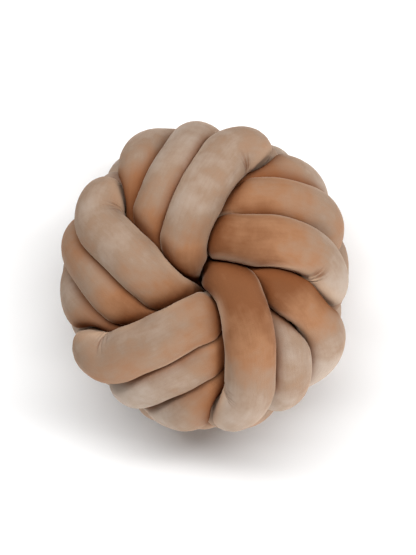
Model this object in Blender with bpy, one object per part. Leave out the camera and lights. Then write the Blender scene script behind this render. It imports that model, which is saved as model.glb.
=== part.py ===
"""Knot cushion: one long stuffed velvet tube laid three times round a five-petal knot.

The ball lies on its back with its face up. +X is to the right of the face, +Y is to its top and
+Z leaves it. Five bands of three tubes cross over one another round the middle of the face, and
the back repeats the face as a mirror image turned by half a petal. The tube is one closed solid:
its parts press flat against each other and stay a hair apart.
"""

import bpy
import numpy as np

# Driving dimensions, in metres.
BALL_WIDTH = 0.291
BALL_LENGTH = 0.308
TUBE_RADIUS = 0.0250
STANDING_FLAT = 0.0060  # how far the five lowest bends are pressed in by the floor
PART_GAP = 0.0012  # between two pressed parts of the tube
UPPER_SHARE = 0.010  # how strongly an upper part of the tube presses into the one it lies on
CORE_RADIUS = 0.012  # hollow left in the very middle

PETALS = 5
PETAL_TURN = 360 / PETALS
HALF_TURN = 1.5 * PETAL_TURN  # how far round the tube goes on the face before it dips to the back
LAPS = ("inner", "middle", "outer")
RING_SIDES = 14
RING_STEP_SEEN = 0.0180
RING_STEP_HIDDEN = 0.0260
SAMPLE_STEP = 0.004
PRESSED_WIDTH = 0.039  # what a hidden part of the tube keeps between itself and the next

# The way of each tube of a band over one half of the ball, from under the band before it, past the
# middle of the face and over the next band to the rim. Columns: turn about the middle of the face
# in degrees, reach from the middle in mm and height over the ball's middle plane in mm.
HALF_WAYS = {
    "inner": (
        (201, 84, 31), (196, 62, 44), (185, 41, 56), (165, 30, 70), (138, 31, 86), (116, 41, 98),
        (102, 57, 104), (92, 76, 99), (83, 96, 86), (76, 114, 68), (67.5, 119, 55),
        (67.5, 106, 32), (68, 84, 12),
    ),
    "middle": (
        (187, 102, 12), (181, 87, 29), (173, 74, 42), (162, 67, 52), (150, 66, 62), (138, 69, 73),
        (126, 77, 80), (114, 91, 77), (104, 105, 64), (97.5, 117, 44), (92.5, 122, 22),
        (88.5, 117, 2),
    ),
    "outer": (
        (166, 83, 4), (158, 82, 16), (149, 88, 33), (140, 97, 47), (132, 106, 53), (124, 115, 49),
        (118, 122, 36), (111, 124, 11), (103.5, 120, -11), (95.5, 109, -28),
    ),
}
# The third lap comes back to the first through the core. Same columns.
WAY_HOME = ((176, 84, -6), (186, 50, -8), (215, 16, -4), (250, 8, 14), (200, 22, 36), (182, 33, 54))

# Where this cushion is uneven. Columns: half (even ones on the face, odd ones on the back), way,
# first and last row of it, then the most added to turn, reach and height.
UNEVEN = (
    (0, "inner", 2, 5, 0, -3, 0),
    (0, "middle", 3, 9, -5, 0, 7),
    (0, "outer", 1, 6, -5, -5, 3),
    (0, "outer", 5, 8, 4, 0, 0),
    (2, "inner", 0, 3, 0, 0, -12),
    (2, "inner", 5, 8, -3, -8, 0),
    (2, "inner", 8, 10, -2, 2, 0),
    (2, "middle", 5, 10, -3, -9, 0),
    (2, "outer", 4, 7, 1, -4, 0),
    (2, "outer", 7, 9, 1, -5, 0),
    (4, "inner", 2, 5, 0, 8, 2),
    (4, "inner", 4, 9, 6, 0, 0),
    (4, "middle", 4, 9, 3, 2, 0),
    (4, "middle", 7, 10, 0, 7, 0),
    (4, "outer", 3, 8, -3, 3, 0),
    (6, "inner", 2, 4, 0, -2, 0),
    (6, "inner", 8, 11, 6, 0, 0),
    (6, "outer", 4, 8, 3, -5, 0),
    (8, "inner", 3, 5, 0, -6, 0),
    (8, "middle", 3, 7, -1, 6, -28),
    (8, "middle", 8, 11, 0, 5, 0),
    (8, "outer", 1, 5, 6, -25, 30),
    (8, "outer", 5, 9, 2, 9, 0),
    (1, "outer", 5, 6, 0, 4, 0),
    (3, "outer", 5, 9, 0, -7, 0),
    (3, "middle", 8, 11, 0, -5, 0),
    (5, "middle", 8, 10, 0, -5, 0),
    (9, "middle", 8, 11, 0, -5, 0),
    (7, "outer", 5, 7, 0, -7, 0),
    (9, "outer", 5, 7, 0, -7, 0),
)

COLLECTION = "knot_cushion"


def clear_scene():
    for thing in list(bpy.data.objects):
        bpy.data.objects.remove(thing, do_unlink=True)


def place(turn, reach, height):
    """A point of the route in metres, from degrees and millimetres on a round ball."""
    angle = np.radians(turn)
    across = 0.001 * reach * np.cos(angle) * BALL_WIDTH / 0.300
    along = 0.001 * reach * np.sin(angle) * BALL_LENGTH / 0.300
    return np.array((across, along, 0.001 * height))


def half_way(tube, half):
    """Points of one tube over one half of the ball; the odd halves are on its back."""
    back = half % 2 == 1
    base = -HALF_TURN * half
    name = {"inner": "outer", "outer": "inner"}.get(tube, tube) if back else tube
    rows = np.array(HALF_WAYS[name], dtype=float)
    for uneven_half, uneven_way, first, last, *most in UNEVEN:
        if uneven_half != half or uneven_way != name:
            continue
        for row in range(first, last + 1):
            share = np.sin(np.pi * (row - first + 1) / (last - first + 2))
            rows[row] += share * np.array(most)
    side = -1 if back else 1
    return [place(turn + base, reach, side * height) for turn, reach, height in rows]


def route_points():
    """The whole closed route: three laps, each a tube's width beside the last."""
    points = []
    for lap, tube in enumerate(LAPS):
        for half in range(2 * PETALS):
            way = half_way(tube, half)
            if half == 0:
                way = way[3 - lap:]
            if half == 0 and lap == 0:
                way = [place(*row) for row in WAY_HOME] + way
            points.extend(way)
    return np.array(points)


def smooth_closed(points, step):
    """Cubic spline with continuous bend through a closed row of points, sampled at about step."""
    count = len(points)
    ahead = np.roll(points, -1, axis=0)
    span = np.linalg.norm(ahead - points, axis=1) ** 0.75
    before = np.roll(span, 1)
    slope = (ahead - points) / span[:, None]
    system = np.zeros((count, count))
    for i in range(count):
        system[i, i - 1] += before[i]
        system[i, i] += 2 * (span[i] + before[i])
        system[i, (i + 1) % count] += span[i]
    bend = np.linalg.solve(system, 6 * (slope - np.roll(slope, 1, axis=0)))
    samples = []
    for i in range(count):
        j = (i + 1) % count
        pieces = max(2, int(np.ceil(np.linalg.norm(points[j] - points[i]) / step)))
        for done in np.arange(pieces) / pieces * span[i]:
            left = span[i] - done
            samples.append(
                (bend[i] * left ** 3 + bend[j] * done ** 3) / (6 * span[i])
                + (points[i] / span[i] - bend[i] * span[i] / 6) * left
                + (points[j] / span[i] - bend[j] * span[i] / 6) * done
            )
    return np.array(samples)


def walked(route):
    """Length walked to each sample, and the length of the whole route."""
    steps = np.linalg.norm(np.roll(route, -1, axis=0) - route, axis=1)
    return np.concatenate(((0.0,), np.cumsum(steps)))[:-1], steps.sum()


def resample(route, at, length, where):
    """Points of the closed route at the walked lengths asked for."""
    laid = np.vstack((route, route[:1]))
    marks = np.append(at, length)
    return np.array([np.interp(where % length, marks, laid[:, k]) for k in range(3)]).T


def spread_hidden(route):
    """The route with its hidden parts moved off one another, the parts that show held in place."""
    at, length = walked(route)
    count = int(length / 0.008)
    points = resample(route, at, length, np.arange(count) / count * length)
    drawn = points.copy()
    seen = np.clip((np.linalg.norm(drawn, axis=1) - 0.098) / 0.016, 0, 1)
    loose = 1 - 0.85 * seen
    share = loose[:, None] / (loose[:, None] + loose[None, :])
    order = np.arange(count)
    along = np.abs(order[:, None] - order[None, :])
    other = np.minimum(along, count - along) * length / count > 0.055
    for _ in range(50):
        across = points[:, None, :] - points[None, :, :]
        apart = np.sqrt((across ** 2).sum(axis=2)) + 1e-9
        lack = np.where(other, np.clip(PRESSED_WIDTH - apart, 0, None), 0)
        crowd = np.maximum((lack > 0).sum(axis=1), 1)[:, None]
        points += 1.2 * np.einsum("ijk,ij->ik", across, lack * share / apart) / crowd
        even = (np.roll(points, 1, axis=0) + np.roll(points, -1, axis=0)) / 2
        points += 0.15 * loose[:, None] * (even - points)
        points += 0.5 * seen[:, None] * (drawn - points)
    return points


def ring_places(route, at, length):
    """Walked lengths of the rings, closer together where the tube shows."""
    depth = np.linalg.norm(route, axis=1)
    seen = np.clip((depth - 0.085) / 0.020, 0, 1)
    step = RING_STEP_HIDDEN + (RING_STEP_SEEN - RING_STEP_HIDDEN) * seen
    pace = np.append(np.cumsum(np.gradient(at) / step), 0)
    pace[-1] = pace[-2] + (length - at[-1]) / step[-1]
    rings = int(round(pace[-1] - pace[0]))
    wanted = pace[0] + np.arange(rings) / rings * (pace[-1] - pace[0])
    return np.interp(wanted, pace, np.append(at, length))


def carried_frames(centres):
    """Two side directions at each ring, carried along the tube without twist.

    Also the turn by which the last ring's directions miss the first ring's.
    """
    tangent = np.roll(centres, -1, axis=0) - np.roll(centres, 1, axis=0)
    tangent /= np.linalg.norm(tangent, axis=1)[:, None]
    side = np.cross(tangent[0], (0.0, 0.0, 1.0))
    sides = []
    for direction in tangent:
        side = side - direction * side.dot(direction)
        side = side / np.linalg.norm(side)
        sides.append(side)
    sides = np.array(sides)
    normals = np.cross(tangent, sides)
    carried = sides[-1] - tangent[0] * sides[-1].dot(tangent[0])
    over = np.arctan2(carried.dot(normals[0]), carried.dot(sides[0]))
    return sides, normals, over


def bends(centres):
    """Curvature vector at each centre."""
    before = centres - np.roll(centres, 1, axis=0)
    after = np.roll(centres, -1, axis=0) - centres
    first = np.linalg.norm(before, axis=1)[:, None]
    second = np.linalg.norm(after, axis=1)[:, None]
    return 2 * (after / second - before / first) / (first + second)


def free_reach(directions, line):
    """How far each wall gets before it meets another part of the line. The part that lies further
    out keeps more of the room between the two."""
    at, length = walked(line)
    depth = np.linalg.norm(line, axis=1)
    reach = np.full(directions.shape[:2], 1.0)
    for i, start in enumerate(line):
        apart = np.abs(at - at[i])
        square = ((line - start) ** 2).sum(axis=1)
        other = (np.minimum(apart, length - apart) > 0.050) & (square < 0.15 ** 2)
        room = square[other] + UPPER_SHARE * (depth[i] - depth[other])
        towards = directions[i] @ (line[other] - start).T
        reach[i] = (room / np.maximum(2 * towards, 1e-9)).min(axis=1)
    return reach


def meeting_walls(centres, directions):
    """Free reach at each ring, no more than on the straight way to the rings beside it."""
    parts = np.arange(4)[None, :, None] / 4
    ahead = np.roll(centres, -1, axis=0)
    line = (centres[:, None] * (1 - parts) + ahead[:, None] * parts).reshape(-1, 3)
    turned = np.roll(directions, -1, axis=0)
    parts = parts[..., None]
    leaning = directions[:, None] * (1 - parts) + turned[:, None] * parts
    reach = free_reach(leaning.reshape(-1, RING_SIDES, 3), line)
    return np.min([np.roll(reach, shift, axis=0)[::4] for shift in range(-3, 4)], axis=0)


def blend_low(values, sharpness):
    """The least of several lengths, rounded where they cross."""
    return sum(value ** -sharpness for value in values) ** (-1 / sharpness)


def wall_rings():
    """Rings of the tube's wall: a round section, pressed flat where parts meet."""
    route = smooth_closed(route_points(), SAMPLE_STEP)
    route = smooth_closed(spread_hidden(route), SAMPLE_STEP)
    at, length = walked(route)
    where = ring_places(route, at, length)
    centres = resample(route, at, length, where)
    sides, normals, over = carried_frames(centres)
    corners = 2 * np.pi * np.arange(RING_SIDES) / RING_SIDES
    angle = corners[None, :] - over * (where / length)[:, None]
    directions = (
        np.cos(angle)[..., None] * sides[:, None, :] + np.sin(angle)[..., None] * normals[:, None, :]
    )

    meet = meeting_walls(centres, directions)
    curve = np.einsum("ik,ijk->ij", bends(centres), directions)
    turning = 0.8 / np.maximum(curve, 1e-3)
    depth = np.linalg.norm(centres, axis=1)
    inward = np.einsum("ik,ijk->ij", -centres / depth[:, None], directions)
    hidden = np.clip((0.098 - depth) / 0.015, 0, 1)
    stretch = np.clip(depth - CORE_RADIUS - TUBE_RADIUS, 0, 0.035) * hidden
    round_wall = TUBE_RADIUS + stretch[:, None] * np.clip(inward, 0, 1) ** 2
    wall = blend_low((round_wall, meet, turning), 9)
    wall = np.minimum(wall, meet - PART_GAP / 2)
    return centres[:, None, :] + wall[..., None] * directions


def stand_on_floor(rings):
    """The rings at the ball's outside size, its lowest bends pressed flat at height zero."""
    points = rings.reshape(-1, 3)
    low = points.min(axis=0)
    high = points.max(axis=0)
    rings = rings - (low + high) / 2
    rings[..., 0] *= BALL_WIDTH / (high[0] - low[0])
    rings[..., 1] *= BALL_LENGTH / (high[1] - low[1])
    floor = rings[..., 2].min() + STANDING_FLAT
    rings[..., 2] = np.maximum(rings[..., 2] - floor, 0.0)
    return rings


def build():
    clear_scene()
    rings = stand_on_floor(wall_rings())
    count = len(rings)
    faces = []
    for i in range(count):
        j = (i + 1) % count
        for k in range(RING_SIDES):
            n = (k + 1) % RING_SIDES
            faces.append(
                (i * RING_SIDES + k, i * RING_SIDES + n, j * RING_SIDES + n, j * RING_SIDES + k)
            )
    mesh = bpy.data.meshes.new("knot_tube")
    mesh.from_pydata(rings.reshape(-1, 3).tolist(), [], faces)
    mesh.validate()
    mesh.update()

    velvet = bpy.data.materials.new("peach_velvet")
    velvet.use_nodes = True
    shader = velvet.node_tree.nodes["Principled BSDF"]
    shader.inputs["Base Color"].default_value = (0.55, 0.33, 0.21, 1.0)
    shader.inputs["Roughness"].default_value = 0.9
    mesh.materials.append(velvet)

    collection = bpy.data.collections.new(COLLECTION)
    bpy.context.scene.collection.children.link(collection)
    collection.objects.link(bpy.data.objects.new("knot_tube", mesh))


build()
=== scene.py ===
"""Looks of the knot cushion: its velvet tube, the white floor it lies on, soft light, camera."""

import bpy
import numpy as np
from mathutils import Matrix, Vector, noise


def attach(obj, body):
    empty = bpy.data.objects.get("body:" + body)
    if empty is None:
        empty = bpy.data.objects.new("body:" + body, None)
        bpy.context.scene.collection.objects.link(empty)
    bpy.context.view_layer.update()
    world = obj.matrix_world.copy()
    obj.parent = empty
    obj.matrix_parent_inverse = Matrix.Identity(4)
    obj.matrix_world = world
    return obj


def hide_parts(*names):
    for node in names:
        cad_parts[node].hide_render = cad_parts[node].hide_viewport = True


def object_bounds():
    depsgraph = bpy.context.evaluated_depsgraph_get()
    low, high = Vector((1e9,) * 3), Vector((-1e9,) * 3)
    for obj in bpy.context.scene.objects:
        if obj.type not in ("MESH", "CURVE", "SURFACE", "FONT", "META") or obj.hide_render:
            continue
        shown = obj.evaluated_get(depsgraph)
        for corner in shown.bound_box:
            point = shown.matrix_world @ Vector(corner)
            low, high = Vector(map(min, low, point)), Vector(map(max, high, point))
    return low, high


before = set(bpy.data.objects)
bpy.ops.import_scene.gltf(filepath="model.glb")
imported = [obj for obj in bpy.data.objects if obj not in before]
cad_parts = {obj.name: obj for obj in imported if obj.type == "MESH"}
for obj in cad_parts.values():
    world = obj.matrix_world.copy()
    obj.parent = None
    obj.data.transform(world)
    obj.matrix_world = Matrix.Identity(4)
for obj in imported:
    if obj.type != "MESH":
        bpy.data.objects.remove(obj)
cad_box = [list(corner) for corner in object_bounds()]
scene = bpy.context.scene

# --------------------------------------------------------------------------------------------
# Camera. It looks straight down at the face of the ball, from far enough away that the lengths
# of tube at the rim are seen almost side on.
# --------------------------------------------------------------------------------------------
CAMERA_HEIGHT = 2.43
CAMERA_ASIDE = (0.0034, -0.0012)  # the ball sits a little left of and above the picture's middle
PICTURE_LONG_SIDE = 0.555  # metres seen at the ball's middle plane
FILM_LONG_SIDE = 36.0  # millimetres

ball_low, ball_high = (Vector(corner) for corner in cad_box)
ball_middle = (ball_low + ball_high) / 2
lens = bpy.data.cameras.new("overhead_lens")
lens.sensor_width = FILM_LONG_SIDE
lens.lens = FILM_LONG_SIDE * (CAMERA_HEIGHT - ball_middle.z) / PICTURE_LONG_SIDE
camera = bpy.data.objects.new("overhead_camera", lens)
camera.location = (*CAMERA_ASIDE, CAMERA_HEIGHT)
scene.collection.objects.link(camera)
scene.camera = camera


# --------------------------------------------------------------------------------------------
# Route of the tube. One long tube is laid three times round a five-petal knot: out of the middle
# of the face, over the next band, round the rim and under on the back, where the same way comes
# again as a mirror image. Its ends are joined in the core.
# --------------------------------------------------------------------------------------------
MM = 0.001
BALL_WIDTH = 0.291
BALL_LENGTH = 0.308
DRAWN_WIDTH = 0.300  # the rows below are drawn for a ball this wide and this long
HALVES = 10  # five on the face and five on the back make one lap
HALF_TURN = 108  # degrees from the start of one half to the start of the next
SAMPLE_STEP = 0.004
SPAN_POWER = 0.75  # how far the spline's pace follows the distance between its points

# Columns: turn about the middle of the face in degrees, reach from the middle in mm and height
# over the ball's middle plane in mm.
HALF_WAYS = {
    "inner": (
        (201, 84, 31), (196, 62, 44), (185, 41, 56), (165, 30, 70), (138, 31, 86), (116, 41, 98),
        (102, 57, 104), (92, 76, 99), (83, 96, 86), (76, 114, 68), (67.5, 119, 55),
        (67.5, 106, 32), (68, 84, 12),
    ),
    "middle": (
        (187, 102, 12), (181, 87, 29), (173, 74, 42), (162, 67, 52), (150, 66, 62), (138, 69, 73),
        (126, 77, 80), (114, 91, 77), (104, 105, 64), (97.5, 117, 44), (92.5, 122, 22),
        (88.5, 117, 2),
    ),
    "outer": (
        (166, 83, 4), (158, 82, 16), (149, 88, 33), (140, 97, 47), (132, 106, 53), (124, 115, 49),
        (118, 122, 36), (111, 124, 11), (103.5, 120, -11), (95.5, 109, -28),
    ),
}
# Rows of the way home through the core, from the end of the last lap to the start of the first.
WAY_HOME = (
    (176, 84, -6), (186, 50, -8), (215, 16, -4), (250, 8, 14), (200, 22, 36), (182, 33, 54),
)
JOINED_ROWS = (3, 2, 1)  # rows left out at the start of each lap, where it runs on from the last
# Where the hand that laid the tube was uneven. Columns: half (even ones on the face, odd ones on
# the back), way, first and last row of it, most added to turn, reach and height.
UNEVEN = (
    (0, "inner", 2, 5, 0, -3, 0),
    (0, "middle", 3, 9, -5, 0, 7),
    (0, "outer", 1, 6, -5, -5, 3),
    (0, "outer", 5, 8, 4, 0, 0),
    (2, "inner", 0, 3, 0, 0, -12),
    (2, "inner", 5, 8, -3, -8, 0),
    (2, "inner", 8, 10, -2, 2, 0),
    (2, "middle", 5, 10, -3, -9, 0),
    (2, "outer", 4, 7, 1, -4, 0),
    (2, "outer", 7, 9, 1, -5, 0),
    (4, "inner", 2, 5, 0, 8, 2),
    (4, "inner", 4, 9, 6, 0, 0),
    (4, "middle", 4, 9, 3, 2, 0),
    (4, "middle", 7, 10, 0, 7, 0),
    (4, "outer", 3, 8, -3, 3, 0),
    (6, "inner", 2, 4, 0, -2, 0),
    (6, "inner", 8, 11, 6, 0, 0),
    (6, "outer", 4, 8, 3, -5, 0),
    (8, "inner", 3, 5, 0, -6, 0),
    (8, "middle", 3, 7, -1, 6, -28),
    (8, "middle", 8, 11, 0, 5, 0),
    (8, "outer", 1, 5, 6, -25, 30),
    (8, "outer", 5, 9, 2, 9, 0),
    (1, "outer", 5, 6, 0, 4, 0),
    (3, "outer", 5, 9, 0, -7, 0),
    (3, "middle", 8, 11, 0, -5, 0),
    (5, "middle", 8, 10, 0, -5, 0),
    (9, "middle", 8, 11, 0, -5, 0),
    (7, "outer", 5, 7, 0, -7, 0),
    (9, "outer", 5, 7, 0, -7, 0),
)

# The parts inside the ball press one another apart; those that show stay where they are drawn.
SPREAD_STEP = 0.008
SPREAD_TIMES = 50
PRESSED_WIDTH = 0.039  # between the middle lines of two parts that press on each other
ONE_BEND = 0.055  # parts nearer than this along the tube are one bend, and don't press
SHOWS_FROM, SHOWS_FULLY = 0.098, 0.114  # distance from the ball's middle
HELD = 0.85  # how much less a part that shows gives way
PUSH = 1.2  # share of the overlap that a push takes away
EVENING = 0.15  # share of its unevenness that a hidden part then loses
HOMING = 0.5  # share of the way back to its drawn place that a part that shows then goes
TINY = 1e-9


def ramp(value, start, end):
    """Share of the way from start to end: 0 at or before the start, 1 at or past the end."""
    return np.clip((value - start) / (end - start), 0, 1)


def place(turn, reach, height):
    """A point of the route in metres."""
    angle = np.radians(turn)
    across = MM * reach * np.cos(angle) * BALL_WIDTH / DRAWN_WIDTH
    along = MM * reach * np.sin(angle) * BALL_LENGTH / DRAWN_WIDTH
    return np.array((across, along, MM * height))


def half_way(tube, half):
    """Points of one tube over one half of the ball. The odd halves are on its back, where the
    inner and the outer way change places."""
    back = half % 2 == 1
    start = -HALF_TURN * half
    name = {"inner": "outer", "outer": "inner"}.get(tube, tube) if back else tube
    rows = np.array(HALF_WAYS[name], dtype=float)
    for uneven_half, uneven_way, first, last, *most in UNEVEN:
        if uneven_half != half or uneven_way != name:
            continue
        for row in range(first, last + 1):
            share = np.sin(np.pi * (row - first + 1) / (last - first + 2))
            rows[row] += share * np.array(most)
    side = -1 if back else 1
    return [place(turn + start, reach, side * height) for turn, reach, height in rows]


def smooth_closed(points, step):
    """Samples of a cubic spline with continuous bend through a closed row of points."""
    count = len(points)
    ahead = np.roll(points, -1, axis=0)
    span = np.linalg.norm(ahead - points, axis=1) ** SPAN_POWER
    before = np.roll(span, 1)
    slope = (ahead - points) / span[:, None]
    system = np.zeros((count, count))
    for i in range(count):
        system[i, i - 1] += before[i]
        system[i, i] += 2 * (span[i] + before[i])
        system[i, (i + 1) % count] += span[i]
    bend = np.linalg.solve(system, 6 * (slope - np.roll(slope, 1, axis=0)))
    samples = []
    for i in range(count):
        j = (i + 1) % count
        pieces = max(2, int(np.ceil(np.linalg.norm(points[j] - points[i]) / step)))
        for done in np.arange(pieces) / pieces * span[i]:
            left = span[i] - done
            samples.append(
                (bend[i] * left ** 3 + bend[j] * done ** 3) / (6 * span[i])
                + (points[i] / span[i] - bend[i] * span[i] / 6) * left
                + (points[j] / span[i] - bend[j] * span[i] / 6) * done
            )
    return np.array(samples)


def walked(line):
    """Length walked to each point of a closed line, and the length of the whole line."""
    steps = np.linalg.norm(np.roll(line, -1, axis=0) - line, axis=1)
    return np.concatenate(((0.0,), np.cumsum(steps)))[:-1], steps.sum()


def resample(line, at, length, where):
    """Points of a closed line at the walked lengths asked for."""
    closed = np.vstack((line, line[:1]))
    marks = np.append(at, length)
    return np.array([np.interp(where % length, marks, closed[:, k]) for k in range(3)]).T


def spread_hidden(line):
    """The line with its hidden parts moved off one another, the parts that show held in place."""
    at, length = walked(line)
    count = int(length / SPREAD_STEP)
    points = resample(line, at, length, np.arange(count) / count * length)
    drawn = points.copy()
    seen = ramp(np.linalg.norm(drawn, axis=1), SHOWS_FROM, SHOWS_FULLY)
    loose = 1 - HELD * seen
    share = loose[:, None] / (loose[:, None] + loose[None, :])
    order = np.arange(count)
    along = np.abs(order[:, None] - order[None, :])
    other = np.minimum(along, count - along) * length / count > ONE_BEND
    for _ in range(SPREAD_TIMES):
        across = points[:, None, :] - points[None, :, :]
        apart = np.sqrt((across ** 2).sum(axis=2)) + TINY
        lack = np.where(other, np.clip(PRESSED_WIDTH - apart, 0, None), 0)
        crowd = np.maximum((lack > 0).sum(axis=1), 1)[:, None]
        points += PUSH * np.einsum("ijk,ij->ik", across, lack * share / apart) / crowd
        even = (np.roll(points, 1, axis=0) + np.roll(points, -1, axis=0)) / 2
        points += EVENING * loose[:, None] * (even - points)
        points += HOMING * seen[:, None] * (drawn - points)
    return points


way_points = [place(*row) for row in WAY_HOME]
still_ahead = [1.0] * len(way_points)  # how much of its half each way point has before it
way_names = [(HALVES - 1, "outer")] * len(way_points)
for tube, joined_rows in zip(("inner", "middle", "outer"), JOINED_ROWS):
    for half in range(HALVES):
        way = half_way(tube, half)
        left_out = joined_rows if half == 0 else 0
        way_points.extend(way[left_out:])
        still_ahead.extend(np.linspace(1, 0, len(way))[left_out:])
        way_names.extend([(half, tube)] * len(way[left_out:]))
way_points = np.array(way_points)
route = smooth_closed(spread_hidden(smooth_closed(way_points, SAMPLE_STEP)), SAMPLE_STEP)

# --------------------------------------------------------------------------------------------
# Velvet tube. A soft sleeve of short-pile velvet, stuffed with fibre: round where it is free,
# pressed flat where it lies against its neighbours, a little lumpy, and gathered into fine folds
# where it bends hard or dives under a band.
# --------------------------------------------------------------------------------------------
TUBE_RADIUS = 0.0246
TUBE_SIDES = 40
STEP_SEEN = 0.0027  # between the rings of a part that shows
STEP_HIDDEN = 0.0080  # and of one inside the ball
HIDDEN_RINGS, SEEN_RINGS = 0.080, 0.100  # distances from the ball's middle for the two steps
PRESSED_GAP = 0.0005  # left between two walls that press on each other
CORE_RADIUS = 0.012  # no wall is stretched nearer to the ball's middle than this
MOST_STRETCH = 0.035  # how far a wall inside the ball swells into the empty core
INSIDE, JUST_UNDER = 0.083, 0.098  # distances from the middle where it swells fully and not at all
UPPER_SHARE = 0.010  # how much more room the outer one of two parts keeps
NEXT_BEND = 0.050  # a part nearer than this along the tube is no neighbour
FAR_OFF = 0.12  # and nothing is, further off than this
FLATTENED = 0.035  # how much the side that faces out of the ball is flattened
BEND_SHARE = 0.85  # how much of the way to the centre of a bend its inner wall may go
LEAST_BEND = 1e-3  # curvature that counts as straight, in radians per metre
CREASE = 20.0  # how sharply a round wall turns into a pressed one
HEIGHT_WEIGHT = 0.35  # how much the height tells, of two parts, which one lies over the other
START_WEIGHT = 0.05  # and how much the place in its half
LUMP_HEIGHT, LUMP_SIZE = 0.0007, 0.035
GATHER_HEIGHT, GATHER_SPACING = 0.00045, 0.0085
GATHER_WANDER, GATHER_WANDER_SIZE = 3.0, 0.030
GATHERS_FROM, GATHERS_FULLY = 8.0, 22.0  # curvature


def ring_places(line, at, length):
    """Walked lengths of the rings, closer together where the tube shows."""
    seen = ramp(np.linalg.norm(line, axis=1), HIDDEN_RINGS, SEEN_RINGS)
    step = STEP_HIDDEN + (STEP_SEEN - STEP_HIDDEN) * seen
    pace = np.append(np.cumsum(np.gradient(at) / step), 0)
    pace[-1] = pace[-2] + (length - at[-1]) / step[-1]
    count = int(round(pace[-1] - pace[0]))
    wanted = pace[0] + np.arange(count) / count * (pace[-1] - pace[0])
    return np.interp(wanted, pace, np.append(at, length))


def carried_frames(line):
    """Two side directions at each ring, carried without twist, and the turn they miss by."""
    tangent = np.roll(line, -1, axis=0) - np.roll(line, 1, axis=0)
    tangent /= np.linalg.norm(tangent, axis=1)[:, None]
    side = np.cross(tangent[0], (0.0, 0.0, 1.0))
    sides = []
    for direction in tangent:
        side = side - direction * side.dot(direction)
        side = side / np.linalg.norm(side)
        sides.append(side)
    sides = np.array(sides)
    normals = np.cross(tangent, sides)
    carried = sides[-1] - tangent[0] * sides[-1].dot(tangent[0])
    return sides, normals, np.arctan2(carried.dot(normals[0]), carried.dot(sides[0]))


def bends(line):
    """Curvature vector at each point of a closed line."""
    before = line - np.roll(line, 1, axis=0)
    after = np.roll(line, -1, axis=0) - line
    first = np.linalg.norm(before, axis=1)[:, None]
    second = np.linalg.norm(after, axis=1)[:, None]
    return 2 * (after / second - before / first) / (first + second)


def neighbours(directions, line, lie):
    """How far each wall gets before it meets another part of the line, how wide a gap a round
    wall would leave to the nearest other part, and how much that part lies over it. The part that
    lies further out keeps more of the room between the two."""
    at, length = walked(line)
    depth = np.linalg.norm(line, axis=1)
    reach, gap, under = (np.empty(directions.shape[:2]) for _ in range(3))
    for i, start in enumerate(line):
        apart = np.abs(at - at[i])
        square = ((line - start) ** 2).sum(axis=1)
        other = (np.minimum(apart, length - apart) > NEXT_BEND) & (square < FAR_OFF ** 2)
        square = square[other]
        towards = directions[i] @ (line[other] - start).T
        room = square + UPPER_SHARE * (depth[i] - depth[other])
        reach[i] = (room / np.maximum(2 * towards, TINY)).min(axis=1)
        off = np.sqrt(square + TUBE_RADIUS ** 2 - 2 * TUBE_RADIUS * towards)
        gap[i] = off.min(axis=1) - TUBE_RADIUS
        under[i] = ((lie[other] - lie[i]) / np.sqrt(square))[off.argmin(axis=1)]
    return reach, gap, under


def along_ways(line, points):
    """Where along the way points each point of the line lies, counted in way points."""
    on = np.roll(points, -1, axis=0) - points
    share = np.einsum("ijk,jk->ij", line[:, None] - points[None], on) / (on ** 2).sum(axis=1)
    share = np.clip(share, 0, 1)
    off = line[:, None] - points[None] - share[..., None] * on[None]
    nearest = (off ** 2).sum(axis=2).argmin(axis=1)
    return nearest + share[np.arange(len(line)), nearest]


def evened(field, along, around=0):
    """A field over the rings and sides, averaged so many times along the tube and around it."""
    for axis, times in ((0, along), (1, around)):
        for _ in range(times):
            field = (np.roll(field, 1, axis) + 2 * field + np.roll(field, -1, axis)) / 4
    return field


def noise_over(points, size):
    """Soft noise from -1 to 1 over an array of points, in two layers, the second half as wide."""
    flat = points.reshape(-1, 3) / size
    made = [noise.fractal(Vector(point), 1.0, 2.0, 2) for point in flat]
    return np.array(made).reshape(points.shape[:-1])


def along_directions(vectors, directions):
    """How far one vector for each ring goes along each direction of that ring."""
    return np.einsum("ik,ijk->ij", vectors, directions)


at, length = walked(route)
where = ring_places(route, at, length)
centres = evened(resample(route, at, length, where), 3)
sides, normals, missed = carried_frames(centres)
corners = 2 * np.pi * np.arange(TUBE_SIDES) / TUBE_SIDES
angle = corners[None, :] - missed * (where / length)[:, None]
directions = (
    np.cos(angle)[..., None] * sides[:, None, :] + np.sin(angle)[..., None] * normals[:, None, :]
)

# A part lies over another where it is further out, and where it is at the far end of its half. A
# wall meets its neighbour no further out than the rings before and after it do.
way_at = along_ways(centres, way_points)
early = np.interp(way_at, np.arange(len(still_ahead)), still_ahead)
depth = np.linalg.norm(centres, axis=1)
lie = depth + HEIGHT_WEIGHT * np.abs(centres[:, 2]) - START_WEIGHT * early
meet, gap, under = neighbours(directions, centres, lie)
meet = np.min([np.roll(meet, shift, axis=0) for shift in (-1, 0, 1)], axis=0)

# The wall is as far out as the stuffing presses it, short of its neighbours and of the centre of
# its own bend. Inside the ball it also swells towards the empty core.
curvature = evened(along_directions(bends(centres), directions), 6)
turning = BEND_SHARE / np.maximum(curvature, LEAST_BEND)
outward = along_directions(centres / depth[:, None], directions)
swelling = np.clip(depth - CORE_RADIUS - TUBE_RADIUS, 0, MOST_STRETCH)
swelling = swelling * ramp(depth, JUST_UNDER, INSIDE)
round_wall = TUBE_RADIUS + swelling[:, None] * np.clip(-outward, 0, 1) ** 2
round_wall = round_wall * (1 - FLATTENED * np.clip(outward, 0, 1) ** 3)
wall = (round_wall ** -CREASE + meet ** -CREASE + turning ** -CREASE) ** (-1 / CREASE)
wall = evened(wall, 2, 1)

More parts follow.
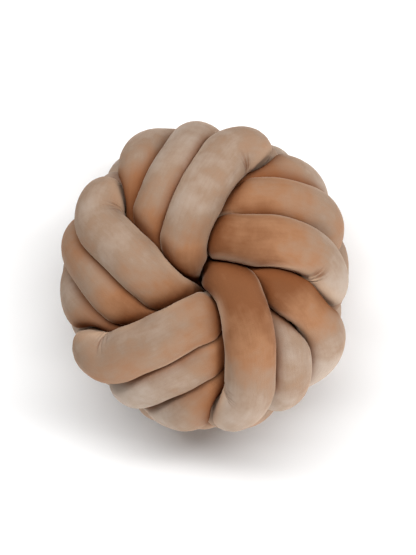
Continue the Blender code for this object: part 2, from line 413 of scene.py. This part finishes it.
# The filling is lumpy, and the sleeve gathers on the inside of bends, most where a free wall
# turns into a pressed one.
free = evened(ramp(meet / round_wall, 1.0, 1.5), 4, 2)
surface = centres[:, None, :] + wall[..., None] * directions
lumps = LUMP_HEIGHT * noise_over(surface, LUMP_SIZE)
turning_free = np.clip(1.6 - np.abs(2 * free - 1), 0, 1)
wander = GATHER_WANDER * noise_over(surface, GATHER_WANDER_SIZE)
ripple = np.sin(2 * np.pi * where[:, None] / GATHER_SPACING + wander)
gathers = GATHER_HEIGHT * ramp(curvature, GATHERS_FROM, GATHERS_FULLY) * turning_free * ripple
wall = np.minimum(wall + lumps + gathers, meet - PRESSED_GAP / 2)
surface = centres[:, None, :] + wall[..., None] * directions

# The tube fills the same width, length and height as the solid, and the lowest bends of the back
# are pressed flat on the floor.
low = surface.reshape(-1, 3).min(axis=0)
high = surface.reshape(-1, 3).max(axis=0)
surface = surface - (low + high) / 2
surface[..., 0] *= (ball_high.x - ball_low.x) / (high[0] - low[0])
surface[..., 1] *= (ball_high.y - ball_low.y) / (high[1] - low[1])
surface[..., 2] += ball_high.z - surface[..., 2].max()
surface[..., 2] = np.maximum(surface[..., 2], 0.0)

rings = len(surface)
ring = np.arange(rings)[:, None]
corner = np.arange(TUBE_SIDES)[None, :]
beside = (corner + 1) % TUBE_SIDES
onward = (ring + 1) % rings
quads = np.stack(
    (
        ring * TUBE_SIDES + corner,
        ring * TUBE_SIDES + beside,
        onward * TUBE_SIDES + beside,
        onward * TUBE_SIDES + corner,
    ),
    axis=-1,
).reshape(-1, 4)
tube_mesh = bpy.data.meshes.new("velvet_tube")
tube_mesh.from_pydata(surface.reshape(-1, 3).tolist(), [], quads.tolist())
tube_mesh.polygons.foreach_set("use_smooth", np.ones(len(quads), dtype=bool))
tube_mesh.update()

# Painted shade and painted light on each part that shows. Columns: half, way, share of the half
# still ahead where the near end's painted shade, where it comes out from under a band, fades out,
# how strong it is at its near end and at its far end, less than nothing for painted light.
PAINTED_SHADE_AND_LIGHT = (
    (0, "inner", 0.50, 1.4, 0.1), (0, "middle", 0.35, 1.3, 0.0), (0, "outer", 0.25, 1.3, 0.0),
    (2, "inner", 0.46, 1.35, 0.4), (2, "middle", 0.42, 3.6, -1.2), (2, "outer", 0.48, 3.6, -2.0),
    (4, "inner", 0.20, 2.5, -1.3), (4, "middle", 0.20, 2.8, 0.1), (4, "outer", 0.45, 1.8, -1.4),
    (6, "inner", 0.46, 1.15, 0.3), (6, "middle", 0.32, 3.0, 0.9), (6, "outer", 0.28, 0.9, 0.2),
    (8, "inner", 0.28, 2.8, -1.2), (8, "middle", 0.30, 0.9, -0.9), (8, "outer", 0.33, 2.5, -2.6),
)
# The same painted shade and light for every half on the back.
SHADE_AND_LIGHT_ON_BACK = (0.30, 1.0, -0.3)
SHADED_SIDE = (0.5, -0.85, 0.0)  # the side of each part that gets more painted shade
SIDE_SHADE = 0.35
NEAR_END = 0.68  # share of the half still ahead where the near end's painted shade is full
FAR_START, FAR_END = 0.42, 0.10  # where the far end's painted light and shade start and are full
# How much a neighbour lies over a part, against the distance between the two: where they still
# count as level, where one is on top, and where it covers the other.
LEVEL, ON_TOP, COVERED = 0.05, 0.20, 0.60
SHADE_UNDER_WIDTH = 0.008  # gap to a part on top where the painted shade under it ends
SHADE_UNDER_FALL = 1.3  # how fast that painted shade falls off
DIVE_WIDTH = 0.017  # how much wider it is where the tube comes out from under the other part
DIVE_END, DIVE_FULLY = 0.35, 0.55  # shares of the half still ahead where that holds
EDGE_HIGHLIGHT_WIDTH = 0.009  # gap to a part underneath where the painted highlight along the edge ends
PUCKER_WIDTH = 0.024  # gap to another part where the puckers end
PUCKER_FROM, PUCKER_FULLY = 0.45, 0.35  # shares of the half still ahead
HARD_BEND, HARDEST_BEND = 8.0, 13.0  # curvature where they begin and are full

shade_of_way = {(half, way): row for half, way, *row in PAINTED_SHADE_AND_LIGHT}
shade_rows = np.array([shade_of_way.get(name, SHADE_AND_LIGHT_ON_BACK) for name in way_names])

# What the velvet's colour follows. The first field is painted shade, by how near a spot is to
# a part of the tube that lies over it, and a painted highlight, less than nothing, beside one
# that lies under it. The shade is wider where the tube comes out from under other parts, at the
# start of its half.
dive = ramp(under, 0.0, COVERED) * ramp(early[:, None], DIVE_END, DIVE_FULLY)
shade_under_parts = 1 - ramp(gap, 0.0, SHADE_UNDER_WIDTH + DIVE_WIDTH * dive)
shade_under_parts = ramp(under, -LEVEL, ON_TOP) * shade_under_parts ** SHADE_UNDER_FALL
edge_highlight = ramp(under, LEVEL, -ON_TOP) * ramp(gap, EDGE_HIGHLIGHT_WIDTH, 0.0)

# The second field is painted shade and painted light: shade where each half comes out from under
# a band, light at its far end where the table gives less than nothing, and shade on one side of
# each part. "gather" is where the sleeve puckers: on the inside of a hard bend that dives under
# another part.
fade, near, far = (np.interp(way_at, np.arange(len(shade_rows)), shade_rows[:, k]) for k in range(3))
shade_and_light_field = near * ramp(early, fade, NEAR_END) + far * ramp(early, FAR_START, FAR_END)
shade_and_light_field = evened(shade_and_light_field[:, None], 12) + SIDE_SHADE * (directions @ np.array(SHADED_SIDE))
gathered = ramp(curvature, HARD_BEND, HARDEST_BEND) * ramp(gap, PUCKER_WIDTH, 0.0)
gathered = gathered * ramp(early[:, None], PUCKER_FROM, PUCKER_FULLY)
for name, field in (
    ("painted_shade_and_edge_light", evened(shade_under_parts - edge_highlight, 3, 1)), ("painted_light_and_shade", shade_and_light_field), ("gather", evened(gathered, 2, 1)),
):
    followed = tube_mesh.attributes.new(name, "FLOAT", "POINT")
    followed.data.foreach_set("value", field.reshape(-1).astype(np.float32))

# The sleeve laid out flat, in metres: along the tube and around it.
laid_along = np.stack((where, np.append(where[1:], length)), axis=1)
laid_around = np.stack((corner[0], corner[0] + 1), axis=1) * 2 * np.pi * TUBE_RADIUS / TUBE_SIDES
laid = np.empty((rings, TUBE_SIDES, 4, 2))
for quad_corner, (later, next_side) in enumerate(((0, 0), (0, 1), (1, 1), (1, 0))):
    laid[:, :, quad_corner, 0] = laid_along[:, None, later]
    laid[:, :, quad_corner, 1] = laid_around[None, :, next_side]
sleeve_layer = tube_mesh.uv_layers.new(name="sleeve")
sleeve_layer.data.foreach_set("uv", laid.reshape(-1).astype(np.float32))

velvet_tube = bpy.data.objects.new("velvet_tube", tube_mesh)
scene.collection.objects.link(velvet_tube)

MIX_SHARE, MIX_FIRST, MIX_SECOND, MIX_RESULT = 0, 6, 7, 2  # sockets of a node that mixes colours


class Dye:
    """A value or colour in a material's nodes, written as sums and products."""

    def __init__(self, tree, socket=None):
        self.tree = tree
        self.socket = socket

    def make(self, kind, settings=None, values=None, out=0):
        """What comes out of a new node of this kind, with its settings and sockets as given."""
        node = self.tree.nodes.new(kind)
        for name, value in (settings or {}).items():
            setattr(node, name, value)
        self.feed(node, values or {})
        return Dye(self.tree, node.outputs[out])

    def feed(self, node, values):
        """Link or set a node's sockets."""
        for name, value in values.items():
            if isinstance(value, Dye):
                self.tree.links.new(value.socket, node.inputs[name])
            else:
                node.inputs[name].default_value = value

    def maths(self, operation, first, second):
        return self.make("ShaderNodeMath", {"operation": operation}, {0: first, 1: second})

    def __add__(self, other):
        return self.maths("ADD", self, other)

    def __radd__(self, other):
        return self.maths("ADD", other, self)

    def __sub__(self, other):
        return self.maths("SUBTRACT", self, other)

    def __rsub__(self, other):
        return self.maths("SUBTRACT", other, self)

    def __mul__(self, other):
        return self.maths("MULTIPLY", self, other)

    def __rmul__(self, other):
        return self.maths("MULTIPLY", other, self)

    def clamped(self):
        """This value, kept from 0 to 1."""
        return self.make("ShaderNodeClamp", None, {"Value": self})

    def blend(self, first, second):
        """A colour between two, this value being the share of the second."""
        return self.make(
            "ShaderNodeMix", {"data_type": "RGBA", "clamp_factor": True},
            {MIX_SHARE: self, MIX_FIRST: first, MIX_SECOND: second}, out=MIX_RESULT,
        )

    def noise(self, scale, detail):
        """Noise over this place."""
        values = {"Vector": self, "Scale": scale, "Detail": detail}
        return self.make("ShaderNodeTexNoise", None, values)

    def drawn_out(self, scale):
        """This place, finer or coarser along each of its directions."""
        return self.make("ShaderNodeMapping", None, {"Vector": self, "Scale": scale})


VELVET_LIT_AND_PALE_MOTTLE = (0.390, 0.311, 0.252, 1.0)  # painted light on the lit far ends, and the pale side of the random mottling
VELVET_PALE = (0.288, 0.193, 0.133, 1.0)  # pile as it lies
VELVET_SHADE_AND_WARM_MOTTLE = (0.300, 0.145, 0.072, 1.0)  # painted shade, and the warm side of the random mottling
VELVET_DARK_SHADE_AND_MOTTLE = (0.190, 0.073, 0.029, 1.0)  # deeper painted shade, and the darkest of the random mottling
VELVET_SHADE_UNDER = (0.165, 0.055, 0.020, 1.0)  # painted shade under another part and in the puckers
VELVET_EDGE_HIGHLIGHT = (0.500, 0.335, 0.225, 1.0)  # painted highlight along the edge of a part that lies over another
VELVET_SHEEN = (0.95, 0.74, 0.58, 1.0)
PILE_SHADE = (0.6, 0.6, 0.6, 1.0)  # between the hairs of the pile
PILE_TIP = (1.3, 1.3, 1.3, 1.0)
SPECKLE = 0.75  # how much of that light and shade is seen
PATCHY, SMUDGY, STREAKY = 1.9, 1.0, 0.5  # how strongly each pattern turns the pile's colour
MIDDLING = 1.70  # what the three come to on average
SHADE_UNDER_DEPTH, PUCKER_SHADE_DEPTH = 0.9, 0.8  # how deep the painted shade under a part and in a full pucker is
SHADE_COPY_FROM = 1.6  # the copy without sheen takes over fully from a painted shade of one over this
STREAK_RELIEF, SMUDGE_RELIEF, PUCKER_RELIEF = 0.8, 1.2, 6.0  # against the pile's own
NAP_HEIGHT, NAP_STRENGTH = 0.0006, 0.55

velvet = bpy.data.materials.new("peach_velvet")
velvet.use_nodes = True
dye = Dye(velvet.node_tree)
spot = dye.make("ShaderNodeTexCoord", out="Object")
sleeve = dye.make("ShaderNodeUVMap", {"uv_map": "sleeve"})
painted_shade_and_edge_light = dye.make("ShaderNodeAttribute", {"attribute_name": "painted_shade_and_edge_light"}, out="Fac")
painted_light_and_shade = dye.make("ShaderNodeAttribute", {"attribute_name": "painted_light_and_shade"}, out="Fac")
gather = dye.make("ShaderNodeAttribute", {"attribute_name": "gather"}, out="Fac")
patches = spot.noise(24.0, 2.0)  # about 40 mm wide
smudges = spot.noise(85.0, 3.0)  # about 12 mm wide
pile = spot.noise(1100.0, 2.0)  # just under 1 mm wide
streaks = sleeve.drawn_out((60.0, 300.0, 1.0)).noise(1.0, 3.0)  # 17 mm along, 3 mm around
folds = sleeve.drawn_out((210.0, 22.0, 1.0)).noise(1.0, 1.0)  # 5 mm along, 45 mm around
puckers = (6.0 * folds - 2.7).clamped() * (1.6 * gather).clamped()  # the upper part of the folds

# The pile as it lies is pale. Painted light and random mottling make it paler; painted shade and
# random mottling make it warm and then dark. Painted shade is deepest under a part that lies over
# it and in the puckers, and a painted highlight runs along an edge.
shade_light_and_mottle = painted_light_and_shade + (PATCHY * patches + SMUDGY * smudges + STREAKY * streaks - MIDDLING)
colour = (-1.0 * shade_light_and_mottle).clamped().blend(VELVET_PALE, VELVET_LIT_AND_PALE_MOTTLE)
colour = shade_light_and_mottle.clamped().blend(colour, VELVET_SHADE_AND_WARM_MOTTLE)
colour = (shade_light_and_mottle - 1.0).clamped().blend(colour, VELVET_DARK_SHADE_AND_MOTTLE)
# Painted highlight along an edge, then painted shade under parts and in the puckers.
colour = (-1.0 * painted_shade_and_edge_light).clamped().blend(colour, VELVET_EDGE_HIGHLIGHT)
colour = (SHADE_UNDER_DEPTH * painted_shade_and_edge_light + PUCKER_SHADE_DEPTH * puckers).clamped().blend(colour, VELVET_SHADE_UNDER)
speckle = (0.30 * pile + 0.35).clamped().blend(PILE_SHADE, PILE_TIP)
colour = dye.make(
    "ShaderNodeMix", {"data_type": "RGBA", "blend_type": "MULTIPLY"},
    {MIX_SHARE: SPECKLE, MIX_FIRST: colour, MIX_SECOND: speckle}, out=MIX_RESULT,
)
relief = pile + STREAK_RELIEF * streaks + SMUDGE_RELIEF * smudges - PUCKER_RELIEF * puckers
nap = dye.make(
    "ShaderNodeBump", None,
    {"Height": relief, "Strength": NAP_STRENGTH, "Distance": NAP_HEIGHT},
)
standing = velvet.node_tree.nodes["Principled BSDF"]
dye.feed(standing, {
    "Base Color": colour, "Roughness": 0.80 + 0.15 * smudges, "Normal": nap,
    "Specular IOR Level": 0.12, "Sheen Weight": 0.20, "Sheen Roughness": 0.30,
    "Sheen Tint": VELVET_SHEEN,
})
# Under the painted shade a copy of the velvet without sheen is mixed in: a shaded copy of the
# material that keeps the creases from glowing.
shade_copy = dye.make("ShaderNodeBsdfPrincipled", None, {
    "Base Color": colour, "Roughness": 1.0, "Normal": nap, "Specular IOR Level": 0.0,
})
both = dye.make("ShaderNodeMixShader", None, {
    "Fac": (SHADE_COPY_FROM * painted_shade_and_edge_light).clamped(),
    1: Dye(velvet.node_tree, standing.outputs["BSDF"]),
    2: shade_copy,
})
dye.feed(velvet.node_tree.nodes["Material Output"], {"Surface": both})
tube_mesh.materials.append(velvet)

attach(velvet_tube, "root")
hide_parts("knot_tube")

# --------------------------------------------------------------------------------------------
# Floor. A seamless sheet of matt white card, laid flat under the ball and far larger than the
# picture.
# --------------------------------------------------------------------------------------------
FLOOR_HALF = 9.0
CARD_WHITE = (0.93, 0.93, 0.93, 1.0)

floor_mesh = bpy.data.meshes.new("card_floor")
floor_mesh.from_pydata(
    [(-FLOOR_HALF, -FLOOR_HALF, 0), (FLOOR_HALF, -FLOOR_HALF, 0),
     (FLOOR_HALF, FLOOR_HALF, 0), (-FLOOR_HALF, FLOOR_HALF, 0)],
    [], [(0, 1, 2, 3)],
)
card_floor = bpy.data.objects.new("card_floor", floor_mesh)
scene.collection.objects.link(card_floor)
card = bpy.data.materials.new("white_card")
card.use_nodes = True
card_finish = card.node_tree.nodes["Principled BSDF"]
card_finish.inputs["Base Color"].default_value = CARD_WHITE
card_finish.inputs["Roughness"].default_value = 0.95
floor_mesh.materials.append(card)

# --------------------------------------------------------------------------------------------
# Light. One long soft lamp overhead, towards the top of the picture, throws a soft shadow just
# below the ball. Two low lamps, at the picture's foot and to its right, open the near sides of
# the bands. The room is white and dim.
# --------------------------------------------------------------------------------------------
# Columns: name, place, watts, length and width of the lamp in metres.
LAMPS = (
    ("long_lamp", (0.05, 0.58, 2.20), 82.0, 3.0, 0.40),
    ("foot_lamp", (0.30, -2.30, 0.11), 56.0, 2.2, 0.16),
    ("right_lamp", (2.20, -0.40, 0.12), 25.0, 1.8, 0.16),
)
ROOM_WHITE = (1.0, 1.0, 1.0, 1.0)
ROOM_GLOW = 0.08

for name, stand, watts, lamp_length, lamp_width in LAMPS:
    lamp = bpy.data.lights.new(name, "AREA")
    lamp.shape = "RECTANGLE"
    lamp.energy = watts
    lamp.size = lamp_length
    lamp.size_y = lamp_width
    lamp_object = bpy.data.objects.new(name, lamp)
    lamp_object.location = stand
    aim = ball_middle - Vector(stand)
    lamp_object.rotation_euler = aim.to_track_quat("-Z", "Y").to_euler()
    scene.collection.objects.link(lamp_object)

room = bpy.data.worlds.new("pale_room")
room.use_nodes = True
room.node_tree.nodes["Background"].inputs["Color"].default_value = ROOM_WHITE
room.node_tree.nodes["Background"].inputs["Strength"].default_value = ROOM_GLOW
scene.world = room
scene.view_settings.view_transform = "Standard"
